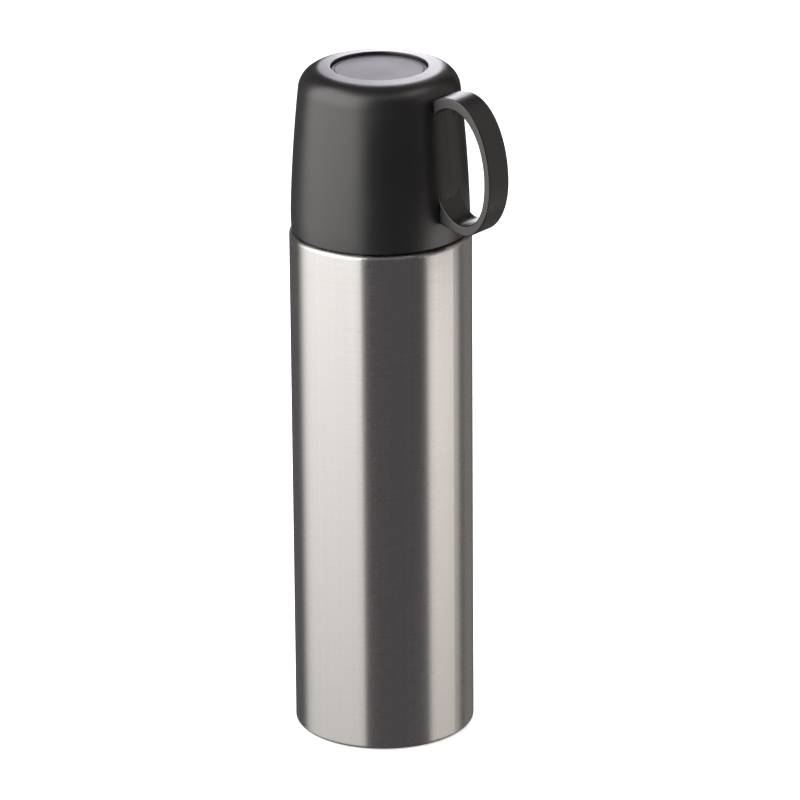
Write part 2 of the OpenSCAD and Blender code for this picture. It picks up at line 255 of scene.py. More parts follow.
def speckled(name, light, dark, roughness, grain, relief, **sockets):
    """Sintered, foamed or rubbery surface: pores of two sizes over a slow change of tone."""
    material, tree, shader = new_material(name, **sockets)
    cells = tree.nodes.new("ShaderNodeTexVoronoi")
    cells.inputs["Scale"].default_value = grain
    link(tree, object_coords(tree), cells.inputs["Vector"])
    mixed = blend_values(
        tree, (noise(tree, 70, 3), 0.4), (noise(tree, grain * 2, 2), 0.3), (cells.outputs["Distance"], 0.3))
    link(tree, ramp(tree, mixed, (0.3, dark), (0.6, light)), shader.inputs["Base Color"])
    link(tree, remap(tree, mixed, roughness - 0.08, roughness + 0.08, 0.3, 0.6), shader.inputs["Roughness"])
    bump(tree, shader, mixed, relief)
    return material


# The maker of each material slot, its light and dark colours, and the maker's next numbers in order
FINISHES = {
    "brushed_steel": (brushed_metal, (0.72, 0.70, 0.68), (0.65, 0.632, 0.615), (0.95, 0.30)),
    "bottle_steel": (brushed_metal, (0.66, 0.65, 0.64), (0.55, 0.545, 0.54), (0.5, 0.25)),
    "foil": (brushed_metal, (0.84, 0.84, 0.85), (0.72, 0.72, 0.73), (0.2, 0.2, 0.00004)),
    "spring_steel": (brushed_metal, (0.72, 0.71, 0.70), (0.6, 0.595, 0.59), (0.3, 0.2)),
    "getter_alloy": (speckled, (0.32, 0.31, 0.30), (0.2, 0.195, 0.19), (0.6, 5000, 0.00005)),
    "seal_glass": (speckled, (0.12, 0.13, 0.14), (0.07, 0.075, 0.08), (0.18, 1500, 0.00001)),
    "base_rubber": (speckled, (0.035, 0.034, 0.034), (0.02, 0.0195, 0.0195), (0.62, 2600, 0.00003)),
    "cup_black": (moulded_plastic, (0.0045, 0.0038, 0.0038), (0.0022, 0.0018, 0.0018), (0.34, 3800, 0.00002)),
    "disc_black": (moulded_plastic, (0.045, 0.041, 0.050), (0.020, 0.018, 0.022), (0.5, 1700, 0.00008)),
    "stopper_black": (moulded_plastic, (0.020, 0.020, 0.021), (0.012, 0.012, 0.013), (0.4, 3500, 0.00002)),
    "liner_grey": (moulded_plastic, (0.028, 0.028, 0.030), (0.020, 0.020, 0.022), (0.3, 2500, 0.00001)),
    "stopper_grey": (moulded_plastic, (0.20, 0.205, 0.21), (0.16, 0.165, 0.17), (0.4, 3500, 0.00002)),
    "button_grey": (moulded_plastic, (0.085, 0.085, 0.09), (0.06, 0.06, 0.064), (0.38, 3200, 0.00003)),
    "foam": (speckled, (0.82, 0.80, 0.74), (0.66, 0.64, 0.58), (0.8, 1800, 0.00012)),
    "silicone": (moulded_plastic, (0.62, 0.62, 0.59), (0.52, 0.52, 0.49), (0.45, 2500, 0.00001)),
}
GLOSSY = {"IOR": 1.55, "Specular_IOR_Level": 1.0}
SOCKETS = {
    "getter_alloy": {"Metallic": 1.0},
    "cup_black": GLOSSY,
    "disc_black": GLOSSY,
    "silicone": {"Subsurface_Weight": 0.3, "Subsurface_Scale": 0.002},
}
MATERIALS = {
    slot: make(slot, light, dark, *numbers, **SOCKETS.get(slot, {}))
    for slot, (make, light, dark, numbers) in FINISHES.items()}


def dress(piece, slot):
    """Gives an object the finish of that material slot."""
    piece.data.materials.clear()
    piece.data.materials.append(MATERIALS[slot])


# ---------- Mesh helpers ----------

ON_WALL = 0.01  # how close to a wall's radius a point lies when it is on that wall
STRAIGHT = 3.1  # an angle in radians from which a corner counts as straight
FILLET_SHARE = 0.48  # the most of a side's length that one fillet may take


def arc(centre, radius, start, end, steps):
    """Points on a circle in the (r, z) plane, from angle start to end in degrees."""
    angles = (math.radians(start + (end - start) * i / steps) for i in range(steps + 1))
    return [(centre[0] + radius * math.cos(a), centre[1] + radius * math.sin(a)) for a in angles]


def rounded(corners, steps=5, closed=True):
    """Outline through corners (r, z) or (r, z, radius), with an arc in place of each that has a radius."""
    outline = []
    count = len(corners)
    for i, corner in enumerate(corners):
        here = Vector(corner[:2])
        before = Vector(corners[i - 1][:2]) - here
        after = Vector(corners[(i + 1) % count][:2]) - here
        at_end = not closed and i in (0, count - 1)
        if len(corner) < 3 or at_end or before.angle(after) > STRAIGHT:
            outline.append(tuple(here))
            continue
        half = before.angle(after) / 2
        reach = min(corner[2] / math.tan(half), FILLET_SHARE * before.length, FILLET_SHARE * after.length)
        radius = reach * math.tan(half)
        u, v = before.normalized(), after.normalized()
        middle = here + (u + v).normalized() * radius / math.sin(half)
        first, last = here + u * reach - middle, here + v * reach - middle
        start = math.degrees(math.atan2(first.y, first.x))
        sweep = math.degrees(math.atan2(first.x * last.y - first.y * last.x, first.dot(last)))
        outline += arc(middle, radius, start, start + sweep, steps)
    return outline


def split_walls(outline, low, high, step, radius=None):
    """Outline with its long stretches between two heights, at that radius if given, cut to about step."""
    result = []
    for (r0, z0), (r1, z1) in zip(outline, outline[1:] + outline[:1]):
        result.append((r0, z0))
        inside = min(z0, z1) < high and max(z0, z1) > low and abs(z1 - z0) > step and radius in (None, r0)
        pieces = math.ceil(abs(z1 - z0) / step) if inside else 1
        result += [(r0 + (r1 - r0) * k / pieces, z0 + (z1 - z0) * k / pieces) for k in range(1, pieces)]
    return result


def even_angles(count, extra=()):
    """Angles in degrees round the axis, with extra ones put in."""
    return sorted({round(a % 360, 4) for a in [360 * i / count for i in range(count)] + list(extra)})


def smooth_object(name, mesh, work):
    """Object whose mesh takes the bmesh, shaded smooth."""
    for face in work.faces:
        face.smooth = True
    work.to_mesh(mesh)
    work.free()
    piece = bpy.data.objects.new(name, mesh)
    bpy.context.collection.objects.link(piece)
    return piece


def mesh_object(name, vertices, faces):
    """Object from millimetre vertices, with every face turned outward and shaded smooth."""
    mesh = bpy.data.meshes.new(name)
    mesh.from_pydata([tuple(c * MM for c in v) for v in vertices], [], faces)
    work = bmesh.new()
    work.from_mesh(mesh)
    bmesh.ops.remove_doubles(work, verts=work.verts, dist=1e-7)
    bmesh.ops.recalc_face_normals(work, faces=work.faces)
    return smooth_object(name, mesh, work)


def turned(name, outline, angles, relief=None):
    """Outline of (r, z) points turned round the Z axis.

    An outline that starts and ends on the axis is closed there. relief(angle, r, z) adds to the radius."""
    on_axis = outline[0][0] == 0 and outline[-1][0] == 0
    rows = outline[1:-1] if on_axis else outline
    vertices, faces = [], []
    count = len(angles)
    for a in angles:
        c, s = math.cos(math.radians(a)), math.sin(math.radians(a))
        for r, z in rows:
            out = r + (relief(a, r, z) if relief else 0)
            vertices.append((out * c, out * s, z))
    k = len(rows)
    for i in range(count):
        j = (i + 1) % count
        for n in range(k if not on_axis else k - 1):
            m = (n + 1) % k
            faces.append((i * k + n, i * k + m, j * k + m, j * k + n))
    if on_axis:
        first = len(vertices)
        vertices += [(0, 0, outline[0][1]), (0, 0, outline[-1][1])]
        for i in range(count):
            j = (i + 1) % count
            faces.append((first, i * k, j * k))
            faces.append((first + 1, j * k + k - 1, i * k + k - 1))
    return mesh_object(name, vertices, faces)


def box_mesh(name, low, high, edge, steps=3):
    """Block between two corners, with rounded edges."""
    work = bmesh.new()
    bmesh.ops.create_cube(work, size=1)
    low, high = Vector(low), Vector(high)
    for vertex in work.verts:
        vertex.co = Vector(low[i] + (vertex.co[i] + 0.5) * (high[i] - low[i]) for i in range(3)) * MM
    bmesh.ops.bevel(
        work, geom=work.edges[:], offset=edge * MM, segments=steps, affect="EDGES", profile=0.5,
        clamp_overlap=True)
    return smooth_object(name, bpy.data.meshes.new(name), work)


def cut_away(piece, cutter):
    """Takes the cutter's space out of the piece, and removes the cutter."""
    modifier = piece.modifiers.new("cut", "BOOLEAN")
    modifier.object = cutter
    modifier.operation = "DIFFERENCE"
    modifier.solver = "EXACT"
    graph = bpy.context.evaluated_depsgraph_get()
    piece.data = bpy.data.meshes.new_from_object(piece.evaluated_get(graph))
    piece.modifiers.clear()
    bpy.data.objects.remove(cutter)


def join_meshes(piece, *others):
    """Puts the others' meshes in the piece's, and removes the others."""
    work = bmesh.new()
    work.from_mesh(piece.data)
    for other in others:
        work.from_mesh(other.data)
        bpy.data.objects.remove(other)
    work.to_mesh(piece.data)
    work.free()


def stand_for(piece, node):
    """The piece takes the hidden CAD node's place: its body, and the finish of its material slot."""
    dress(piece, SLOT_OF[node])
    shade = piece.modifiers.new("even_shading", "WEIGHTED_NORMAL")
    shade.keep_sharp = True
    shade.weight = 80
    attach(piece, BODY_OF[node])
    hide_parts(node)


def ridge(distance, crest=0.5, foot=0.95):
    """Height from 0 to 1 of a rounded ridge at that distance from its middle line."""
    t = (foot - abs(distance)) / (foot - crest)
    t = max(0.0, min(1.0, t))
    return t * t * (3 - 2 * t)


def thread(angle, z, base, turns, height):
    """Height of a two-start screw thread at an angle and a height, fading out at both its ends."""
    best = 0.0
    for start in (0, 180):
        part = (angle - start) / 360
        t = part + round((z - base) / THREAD_LEAD - part)
        fade = min(1, THREAD_FADE * (t + THREAD_RUNOUT), THREAD_FADE * (turns + THREAD_RUNOUT - t))
        if fade > 0:
            best = max(best, fade * ridge(z - base - THREAD_LEAD * t))
    return height * best


# ---------- Cup ----------

CUP_WALL = 1.8
CUP_R = BODY_R - 0.6
CUP_DRAW = 4.4  # how far the wall draws in by the top
DRAW_POWER = 1.7  # the power of the height that it follows
MOUTH_TURN_IN = 0.35  # how far the wall turns in at the mouth
MOUTH_TURN_H = 8  # the height over which it does
CORNER_R = 8.8
CORNER_DROP = 0.93  # height of the corner's foot below the rim, in corner radii
CORNER_Z = CUP_TOP_Z - CORNER_DROP * CORNER_R


def cup_wall_r(z):
    """Outside radius of the cup's wall: it draws in towards the top and turns in a little at the mouth."""
    up = max(0.0, z - CUP_Z)
    drawn = CUP_R - CUP_DRAW * (up / CUP_H) ** DRAW_POWER
    return drawn - MOUTH_TURN_IN * max(0.0, 1 - up / MOUTH_TURN_H) ** 2


def cup_side(inset):
    """Wall and corner of the cup, drawn in by inset, and how far the top's slope makes the inset drop."""
    lean = math.atan(CUP_DRAW * DRAW_POWER / CUP_H * ((CORNER_Z - CUP_Z) / CUP_H) ** (DRAW_POWER - 1))
    centre = (cup_wall_r(CORNER_Z) - CORNER_R * math.cos(lean), CORNER_Z - CORNER_R * math.sin(lean))
    run, rise = centre[0] - RECESS_R, CUP_TOP_Z - centre[1]
    slope = math.atan2(rise, run) - math.asin(CORNER_R / math.hypot(run, rise))
    steps, crowding, corner_steps = 30, 1.3, 14
    heights = [CUP_Z + (CORNER_Z - CUP_Z) * (i / steps) ** crowding for i in range(1, steps)]
    wall = [(cup_wall_r(z) - inset, z) for z in heights]
    corner = arc(centre, CORNER_R - inset, math.degrees(lean), 90 - math.degrees(slope), corner_steps)
    return wall, corner, inset / math.cos(slope)


def make_cup_shell():
    """Outer cup: drawn wall, soft corner, recess with a rounded lip, and the mould's faint parting lines."""
    outer_wall, outer_corner, _ = cup_side(0)
    inner_wall, inner_corner, drop = cup_side(CUP_WALL)
    inner_r = RECESS_R + CUP_WALL
    mouth_r = cup_wall_r(CUP_Z)
    groove_depth, groove_half = 0.07, 0.22
    outline = rounded(
        [(0, DISC_Z), (RECESS_R, DISC_Z, 0.15), (RECESS_R, CUP_TOP_Z, 0.45)]
        + outer_corner[::-1] + outer_wall[::-1]
        + [(mouth_r, CUP_Z, 0.5), (mouth_r - CUP_WALL, CUP_Z, 0.3)]
        + inner_wall + inner_corner
        + [(inner_r, CUP_TOP_Z - drop, 0.3), (inner_r, DISC_Z - CUP_WALL, 0.6), (0, DISC_Z - CUP_WALL)],
        closed=False)

    def parting_line(angle, r, z):
        """Hair-thin groove where the mould's halves met, in the plane of the handle."""
        off = min(angle % 180, 180 - angle % 180) * math.radians(1) * r
        on_wall = r > cup_wall_r(z) - 0.5 and CUP_Z + 2 < z < CORNER_Z
        return -groove_depth * max(0.0, 1 - (off / groove_half) ** 2) if on_wall else 0.0

    hair = (-0.6, -0.38, -0.25, -0.12, 0.12, 0.25, 0.38, 0.6)
    angles = even_angles(240, [a + h for a in (0, 180) for h in hair])
    stand_for(turned("cup_wall", outline, angles, parting_line), "cup_shell")


def make_cup_disc():
    """Inset disc with a softly rounded edge and a shallow ring pressed just inside it."""
    low, high, r = DISC_Z, high_mm("cup_disc").z, high_mm("cup_disc").x
    outline = rounded(
        [(0, high), (r - 1.5, high, 0.3), (r - 1.25, high - 0.12, 0.1), (r - 1.0, high, 0.3), (r, high, 0.3),
         (r, low, 0.1), (0, low)], closed=False)
    stand_for(turned("cup_inset_disc", outline, even_angles(160)), "cup_disc")


def cubic(curve, t):
    """Point at t on a cubic curve with four control points."""
    a, b, c, d = (Vector(p) for p in curve)
    return (1 - t) ** 3 * a + 3 * t * (1 - t) ** 2 * b + 3 * t * t * (1 - t) * c + t ** 3 * d


def quarter(p, q, upright=False, full=0.5523):
    """Control points of a quarter turn from p to q, leaving p level, or upright if upright is true."""
    dx, dz = q[0] - p[0], q[1] - p[1]
    if upright:
        return [p, (p[0], p[1] + full * dz), (q[0] - full * dx, q[1]), q]
    return [p, (p[0] + full * dx, p[1]), (q[0], q[1] - full * dz), q]


# The handle's side view as distances out from the axis and up from the cup's mouth, as in the CAD
HANDLE_OUTER = [
    [(30, 56.9), (33, 59.1), (35.5, 59.6), (38.8, 59.6)],
    quarter((38.8, 59.6), (57.3, 27.5)),
    quarter((57.3, 27.5), (44.5, 6.6), True),
    [(44.5, 6.6), (41.5, 6.6), (38, 8.2), (31, 9.8)],
]
HANDLE_INNER = [
    [(29, 49), (31.5, 53), (34.5, 55.4), (38.6, 55.4)],
    quarter((38.6, 55.4), (54.4, 28.6)),
    quarter((54.4, 28.6), (43.4, 10.6), True, 0.66),
    [(43.4, 10.6), (40, 10.6), (36.2, 13.4), (32.9, 20)],
]


def make_cup_handle():
    """Loop handle: a flat band with rounded edges, whose two roots end inside the cup's wall."""
    half = high_mm("cup_handle").y
    edge = 0.55
    root_depth = 0.9
    steps = 26
    outer, inner = (
        [cubic(curve, i / steps) for curve in curves for i in range(steps)] + [Vector(curves[-1][-1])]
        for curves in (HANDLE_OUTER, HANDLE_INNER))
    loop = outer + inner[::-1]

    def in_wall(p):
        """The point, kept from going deeper than the roots may into the cup's wall."""
        z = CUP_Z + p.y
        return Vector((max(p.x, cup_wall_r(z) - root_depth), z))

    loop = [in_wall(p) for p in loop]
    count = len(loop)
    turn = [math.pi / 2 * k / 4 for k in range(5)]
    profile = [(edge * (1 - math.sin(a)), -half + edge * (1 - math.cos(a))) for a in turn]
    profile += [(pull, -y) for pull, y in profile[::-1]]
    normals = []
    for i in range(count):
        along = loop[(i + 1) % count] - loop[i - 1]
        normals.append(Vector((along.y, -along.x)).normalized() if along.length > 1e-9 else Vector((0, 0)))
    area = sum(a.x * b.y - b.x * a.y for a, b in zip(loop, loop[1:] + loop[:1]))
    side = 1 if area > 0 else -1
    vertices, faces = [], []
    for pull, y in profile:
        for point, normal in zip(loop, normals):
            p = point - side * normal * pull
            vertices.append((p.x, y, p.y))
    rows = len(profile)
    for n in range(rows - 1):
        for i in range(count):
            j = (i + 1) % count
            faces.append((n * count + i, n * count + j, (n + 1) * count + j, (n + 1) * count + i))
    per = count // 2
    for row in (0, rows - 1):
        for i in range(per - 1):
            a, b = row * count + i, row * count + i + 1
            c, d = row * count + (count - 2 - i), row * count + (count - 1 - i)
            faces.append((a, b, c, d))
    stand_for(mesh_object("cup_loop_handle", vertices, faces), "cup_handle")


def make_cup_liner():
    """Inner cup: threaded mouth, ledge for the gasket, and the drinking cup with a rounded bottom."""
    top_z = CUP_TOP_Z - 9
    top_r = cup_wall_r(top_z) - CUP_WALL - 3
    mouth_r = cup_wall_r(CUP_Z) - CUP_WALL - 0.1
    waist_r, skirt_r, bore_r, ledge_r = 30, 31.8, 30.9, 28.6
    mouth_z, flange_z, under_z = CUP_Z + 0.3, CUP_Z + 4, top_z - 1.4
    outline = rounded(
        [(0, top_z), (top_r + 0.6, top_z, 3.9), (waist_r, LEDGE_Z + 2.4, 1), (waist_r, LEDGE_Z + 1.4, 0.2),
         (skirt_r, LEDGE_Z + 1.4, 0.5), (skirt_r, flange_z, 0.1), (mouth_r, flange_z, 0.2),
         (mouth_r, mouth_z, 0.3), (bore_r, mouth_z, 0.3), (bore_r, LEDGE_Z, 0.3), (ledge_r, LEDGE_Z, 0.3),
         (ledge_r, LEDGE_Z + 2.4, 1), (top_r - 0.8, under_z, 3), (0, under_z)], closed=False)
    outline = split_walls(outline[:-1], CUP_Z + 0.5, CUP_Z + 9, 0.3) + [outline[-1]]
    base = COLLAR_THREAD_Z + THREAD_LEAD / 4

    def inside_thread(angle, r, z):
        return -thread(angle, z, base, COLLAR_TURNS, 1.15) if abs(r - bore_r) < ON_WALL else 0.0

    stand_for(turned("cup_liner_wall", outline, even_angles(180), inside_thread), "cup_liner")


def make_cup_gasket():
    """Seal under the cup's ledge, with rounded edges and a groove round its outside."""
    low, high = low_mm("cup_gasket").z, high_mm("cup_gasket").z
    outer = high_mm("cup_gasket").x
    inner = outer - 1.7
    middle = (low + high) / 2
    outline = rounded(
        [(inner, low, 0.4), (outer, low, 0.4), (outer, middle - 0.25, 0.15), (outer - 0.3, middle, 0.2),
         (outer, middle + 0.25, 0.15), (outer, high, 0.4), (inner, high, 0.4)])
    stand_for(turned("cup_seal_ring", outline, even_angles(160)), "cup_gasket")


# ---------- Stopper ----------


def make_stopper_housing():
    """Stopper body: threaded plug and collar, deck, and the ribbed wall round the pouring well."""
    plug_in, plug_out, skirt_in, skirt_out, well_in, well_out = 20.4, 22.5, 27.0, 29.4, 22.5, 25.0
    hole = 10.05
    outline = rounded([
        (skirt_out, SKIRT_Z, 0.4), (skirt_out, DECK_TOP_Z, 0.6), (well_out, DECK_TOP_Z, 0.5),
        (well_out, WELL_TOP_Z, 1.0), (well_in, WELL_TOP_Z, 0.5), (well_in, DECK_TOP_Z, 0.5),
        (hole, DECK_TOP_Z, 0.2), (hole, DECK_Z, 0.1), (plug_in, DECK_Z, 0.4), (plug_in, PLUG_Z, 0.3),
        (plug_out, PLUG_Z, 0.5), (plug_out, DECK_Z, 0.3), (skirt_in, DECK_Z, 0.4), (skirt_in, SKIRT_Z, 0.3),
    ], 4)
    outline = split_walls(outline, PLUG_Z + 2.5, PLUG_Z + 15, 0.32)
    outline = split_walls(outline, SKIRT_Z + 0.5, DECK_TOP_Z - 1, 0.32, skirt_out)
    outline = split_walls(outline, DECK_TOP_Z, WELL_TOP_Z - 1, 1.0)
    ribs = 24
    spacing = 360 / ribs
    rib_top, rib_fade, rib_r, rib_sunk = DECK_TOP_Z + 9.5, 0.6, 0.9, 0.4

    def relief(angle, r, z):
        """Threads on the plug and the collar, and ribs on the wall round the well."""
        if abs(r - plug_out) < ON_WALL and z < DECK_Z - 1:
            return thread(angle, z, PLUG_THREAD_Z, PLUG_TURNS, 1.0)
        if abs(r - skirt_out) < ON_WALL and z < DECK_TOP_Z - 1:
            return thread(angle, z, COLLAR_THREAD_Z, COLLAR_TURNS, 1.1)
        if abs(r - well_out) < ON_WALL and z > DECK_TOP_Z:
            off = (angle / spacing) % 1 - 0.5
            across = off * math.radians(spacing) * r
            tall = max(0.0, min(1.0, (rib_top - z) / rib_fade))
            return tall * max(0.0, math.sqrt(max(0.0, rib_r ** 2 - across ** 2)) - rib_sunk)
        return 0.0

    across_rib = (-2.6, -1.85, -1.6, -1.2, -0.6, 0, 0.6, 1.2, 1.6, 1.85, 2.6)
    rib_angles = [(i + 0.5) * spacing + a for i in range(ribs) for a in across_rib]
    angles = even_angles(96, rib_angles)
    piece = turned("stopper_body", outline, angles, relief)
    window_low, window_high = (well_in - 1, -4.3, DECK_TOP_Z + 0.02), (well_out + 4, 4.3, DECK_TOP_Z + 4.6)
    cut_away(piece, box_mesh("window", window_low, window_high, 0.4))
    post_low, post_high = (15.5, -2.6, DECK_TOP_Z - 0.5), (16.5, 2.6, DECK_TOP_Z + 4)
    join_meshes(piece, box_mesh("post", post_low, post_high, 0.25))
    for polygon in piece.data.polygons:
        polygon.use_smooth = True
    stand_for(piece, "stopper_housing")


def make_push_button():
    """Push button: dished top with a softly rounded edge, hollow below, with the boss that holds the stem."""
    low, high, r = low_mm("push_button").z, BUTTON_TOP_Z, high_mm("push_button").x
    dish_r, dish_depth = 8.5, 0.6
    dish = [(dish_r * i / 10, high - dish_depth * (1 - (i / 10) ** 2)) for i in range(11)]
    hollow_r, roof_z, boss_r, boss_z = r - 1.8, high - 2.2, 4, DECK_TOP_Z + 7
    socket_r, socket_z = 2.2, high - 2.25
    outline = rounded(
        dish + [(r, high, 1.6), (r, low, 0.4), (hollow_r, low, 0.3), (hollow_r, roof_z, 0.8),
                (boss_r, roof_z, 0.4), (boss_r, boss_z, 0.3), (socket_r, boss_z, 0.2),
                (socket_r, socket_z, 0.05), (0, socket_z)], closed=False)
    stand_for(turned("button_cap", outline, even_angles(128)), "push_button")


def make_release_tab():
    """Release tab: a rounded block with three finger ridges across its outer end."""
    low, high = low_mm("release_tab"), high_mm("release_tab")
    block = box_mesh("release_button", low, (high.x - 0.35, high.y, high.z), 0.45, 4)
    count, ridge_half, margin = 3, 0.28, 0.9
    ridges = []
    for i in range(count):
        z = low.z + (high.z - low.z) * (i + 1) / (count + 1)
        ridges.append(box_mesh(
            f"ridge_{i}", (high.x - 1.2, low.y + margin, z - ridge_half),
            (high.x, high.y - margin, z + ridge_half), 0.25))
    join_meshes(block, *ridges)
    stand_for(block, "release_tab")


def spring_mesh(name, node, along, coil_r, wire, turns):
    """Coil spring in the CAD spring's place, with closed ends, and its low corner and length.

    along is the axis it lies on, 0 for X or 2 for Z."""
    low, high = low_mm(node), high_mm(node)
    middle = (low + high) / 2
    length = high[along] - low[along]
    per_turn, sides, end_pitch = 36, 10, 1.3
    steps = turns * per_turn
    vertices, faces = [], []
    for i in range(steps + 1):
        t = 2 * i / steps - 1
        height = length / 2 + (length / 2 - wire) * math.copysign(1 - (1 - abs(t)) ** end_pitch, t)
        a = 2 * math.pi * i / per_turn
        for k in range(sides):
            b = 2 * math.pi * k / sides
            r, h = coil_r + wire * math.cos(b), height + wire * math.sin(b)
            if along == 2:
                vertices.append((r * math.cos(a), r * math.sin(a), low.z + h))
            else:
                vertices.append((low.x + h, middle.y + r * math.sin(a), middle.z - r * math.cos(a)))
    for i in range(steps):
        for k in range(sides):
            m = (k + 1) % sides
            faces.append((i * sides + k, i * sides + m, (i + 1) * sides + m, (i + 1) * sides + k))
    faces += [tuple(range(sides)), tuple(range(steps * sides, (steps + 1) * sides))]
    return mesh_object(name, vertices, faces), low, length


def make_springs():
    """The two return springs of the button and the release tab, at their length in the frame; nothing here
    shortens them as these are pressed.
    """
    for name, node, joint, along, coil_r, wire, turns in (
            ("button_coil", "button_spring", "button_press", 2, 4.9, 0.4, 5),
            ("release_coil", "release_spring", "release_press", 0, 1.1, 0.2, 6)):
        piece, low, length = spring_mesh(name, node, along, coil_r, wire, turns)
        stand_for(piece, node)
        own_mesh(piece)


def make_stopper_gasket():
    """Seal at the plug's foot, with two lips that press on the throat."""
    low, high, r = low_mm("stopper_gasket").z, high_mm("stopper_gasket").z, high_mm("stopper_gasket").x
    inner = r - 2.5
    third = (high - low) / 3
    outline = rounded(
        [(inner, low, 0.3), (r - 0.6, low, 0.4), (r, low + 0.7 * third, 0.35),
         (r - 0.9, low + 1.5 * third, 0.5), (r - 0.1, low + 2.3 * third, 0.35), (r - 0.5, high, 0.4),
         (inner, high, 0.3)])
    stand_for(turned("stopper_seal_ring", outline, even_angles(160)), "stopper_gasket")


def make_valve_disc():
    """Soft disc of the pouring valve, with a raised sealing bead near its edge."""
    low, high, r = low_mm("valve_disc").z, high_mm("valve_disc").z, high_mm("valve_disc").x
    stem_r, face_z = 2.2, high - 0.3
    outline = rounded(
        [(stem_r, low, 0.2), (r - 2.4, low, 0.6), (r, low + 0.9, 0.5), (r, high, 0.25), (r - 0.9, high, 0.2),
         (r - 1.4, face_z, 0.3), (r - 3, face_z, 0.3), (stem_r, face_z, 0.2)])
    stand_for(turned("valve_seal_disc", outline, even_angles(96)), "valve_disc")


# ---------- Flask body ----------


def make_inner_bottle():
    """Inner bottle: rounded floor, shoulder cone, throat with its seat, rolled thread in the neck, flange."""
    wall = 0.5
    bottle_r, throat_r, neck_r, flange_r = 31.2, 21.35, 23.9, 26.2
    floor_z, cone_z, throat_z, seat_z = 8, CAP_Z - 12.5, CAP_Z - 1, PLUG_Z - 1.6
    outline = rounded([
        (0, floor_z), (bottle_r, floor_z, 6), (bottle_r, cone_z, 4), (throat_r, throat_z, 1.5),
        (throat_r, seat_z, 0.4), (neck_r, seat_z + 1.8, 0.4), (neck_r, MOUTH_Z, 0.45),
        (flange_r, MOUTH_Z, 0.2), (flange_r, MOUTH_Z - wall, 0.15), (neck_r + wall, MOUTH_Z - wall, 0.1),
        (neck_r + wall, seat_z + 1.5, 0.8), (throat_r + wall, seat_z - 0.3, 0.4),
        (throat_r + wall, throat_z + 0.4, 2), (bottle_r + wall, cone_z + 0.3, 4.5),
        (bottle_r + wall, floor_z - wall, 6.5), (0, floor_z - wall)], closed=False)
    outline = split_walls(outline[:-1], PLUG_Z + 4.5, PLUG_Z + 17, 0.35) + [outline[-1]]
    base = PLUG_THREAD_Z + THREAD_LEAD / 4

    def rolled_thread(angle, r, z):
        return -thread(angle, z, base, PLUG_TURNS, 1.0) if abs(r - neck_r) < ON_WALL else 0.0

    stand_for(turned("bottle_lining", outline, even_angles(180), rolled_thread), "inner_bottle")


def make_base_pad():
    """Soft foot pad with a rounded rim and two rings pressed in its underside."""
    high, r = high_mm("base_pad").z, high_mm("base_pad").x
    corners = [(0, high), (r, high, 0.1), (r, 0, 0.5)]
    deep = 0.3
    for ring_r in (r - 3, r - 6):
        corners += [(ring_r, 0, 0.15), (ring_r - 0.15, deep, 0.12), (ring_r - 0.65, deep, 0.12),
                    (ring_r - 0.8, 0, 0.15)]
    stand_for(turned("foot_pad", rounded(corners + [(0, 0)], closed=False), even_angles(160)), "base_pad")


for make_pieces in (
    make_cup_shell, make_cup_disc, make_cup_handle, make_cup_liner, make_cup_gasket,
    make_stopper_housing, make_springs, make_push_button, make_release_tab, make_stopper_gasket,
    make_valve_disc, make_inner_bottle, make_base_pad,
):
    make_pieces()

for node, obj in frame["nodes"].items():
    dress(obj, SLOT_OF[node])

# ---------- Studio ----------

FLAG_RADIUS = 0.1
NEAR_CARD = 0.6
RIM_CARD = NEAR_CARD + 0.02  # just behind the near cards, which it meets
TOP_CARD = 1.0
FAR_CARD = 2.5
CARD_STEP = 2  # degrees from one column of a card's points to the next
CARD_ROWS = 16
GLOW_CAP = 1.8
LIGHT_DISTANCE = 2.2
LIGHT_AIM_Z = 0.13  # about half the flask's height
FLOOR_HALF = 6.0
FLOOR_Z = -0.0001  # a little under the flask's foot
BACKDROP_R = 5.9
WORLD_GREY = (0.09, 0.087, 0.09)
WHITE = (1, 1, 1)
WARM, ROSY, VIOLET = (1.0, 0.985, 0.965), (1.0, 0.95, 0.915), (0.965, 0.925, 1.0)

# Name, azimuths, heights, radius, strength, colour, fade and rise of the cards that only reflections see
NEAR_HEIGHTS = (-1.2, 1.2)
CARDS = (
    ("left_card", (-126, -22), NEAR_HEIGHTS, NEAR_CARD, 1.24, WARM, (22, 3), 1.8),
    ("left_rim_card", (-175, -122), NEAR_HEIGHTS, RIM_CARD, 0.12, VIOLET, (20, 0), 0.0),
    ("right_card", (57.5, 120), NEAR_HEIGHTS, NEAR_CARD, 1.14, ROSY, (3, 26), 1.8),
    ("right_rim_card", (112, 170), NEAR_HEIGHTS, RIM_CARD, 0.22, ROSY, (0, 20), 0.0),
    ("right_flag", (48, 135), (0.196, 0.36), FLAG_RADIUS, 0.3, ROSY, (0, 40), 0.0),
    ("top_card", (-100, 100), (1.5, 2.6), TOP_CARD, 0.5, WHITE, (0, 0), 0.0),
    ("back_card", (160, 200), (0.25, 2.6), FAR_CARD, 4.7, VIOLET, (8, 8), 0.0),
)
# Name, azimuth, elevation, size in metres and power in watts
LIGHTS = (("key", -55, 35, 1.6, 60), ("fill", 75, 30, 1.4, 30), ("top", 180, 70, 1.6, 40))


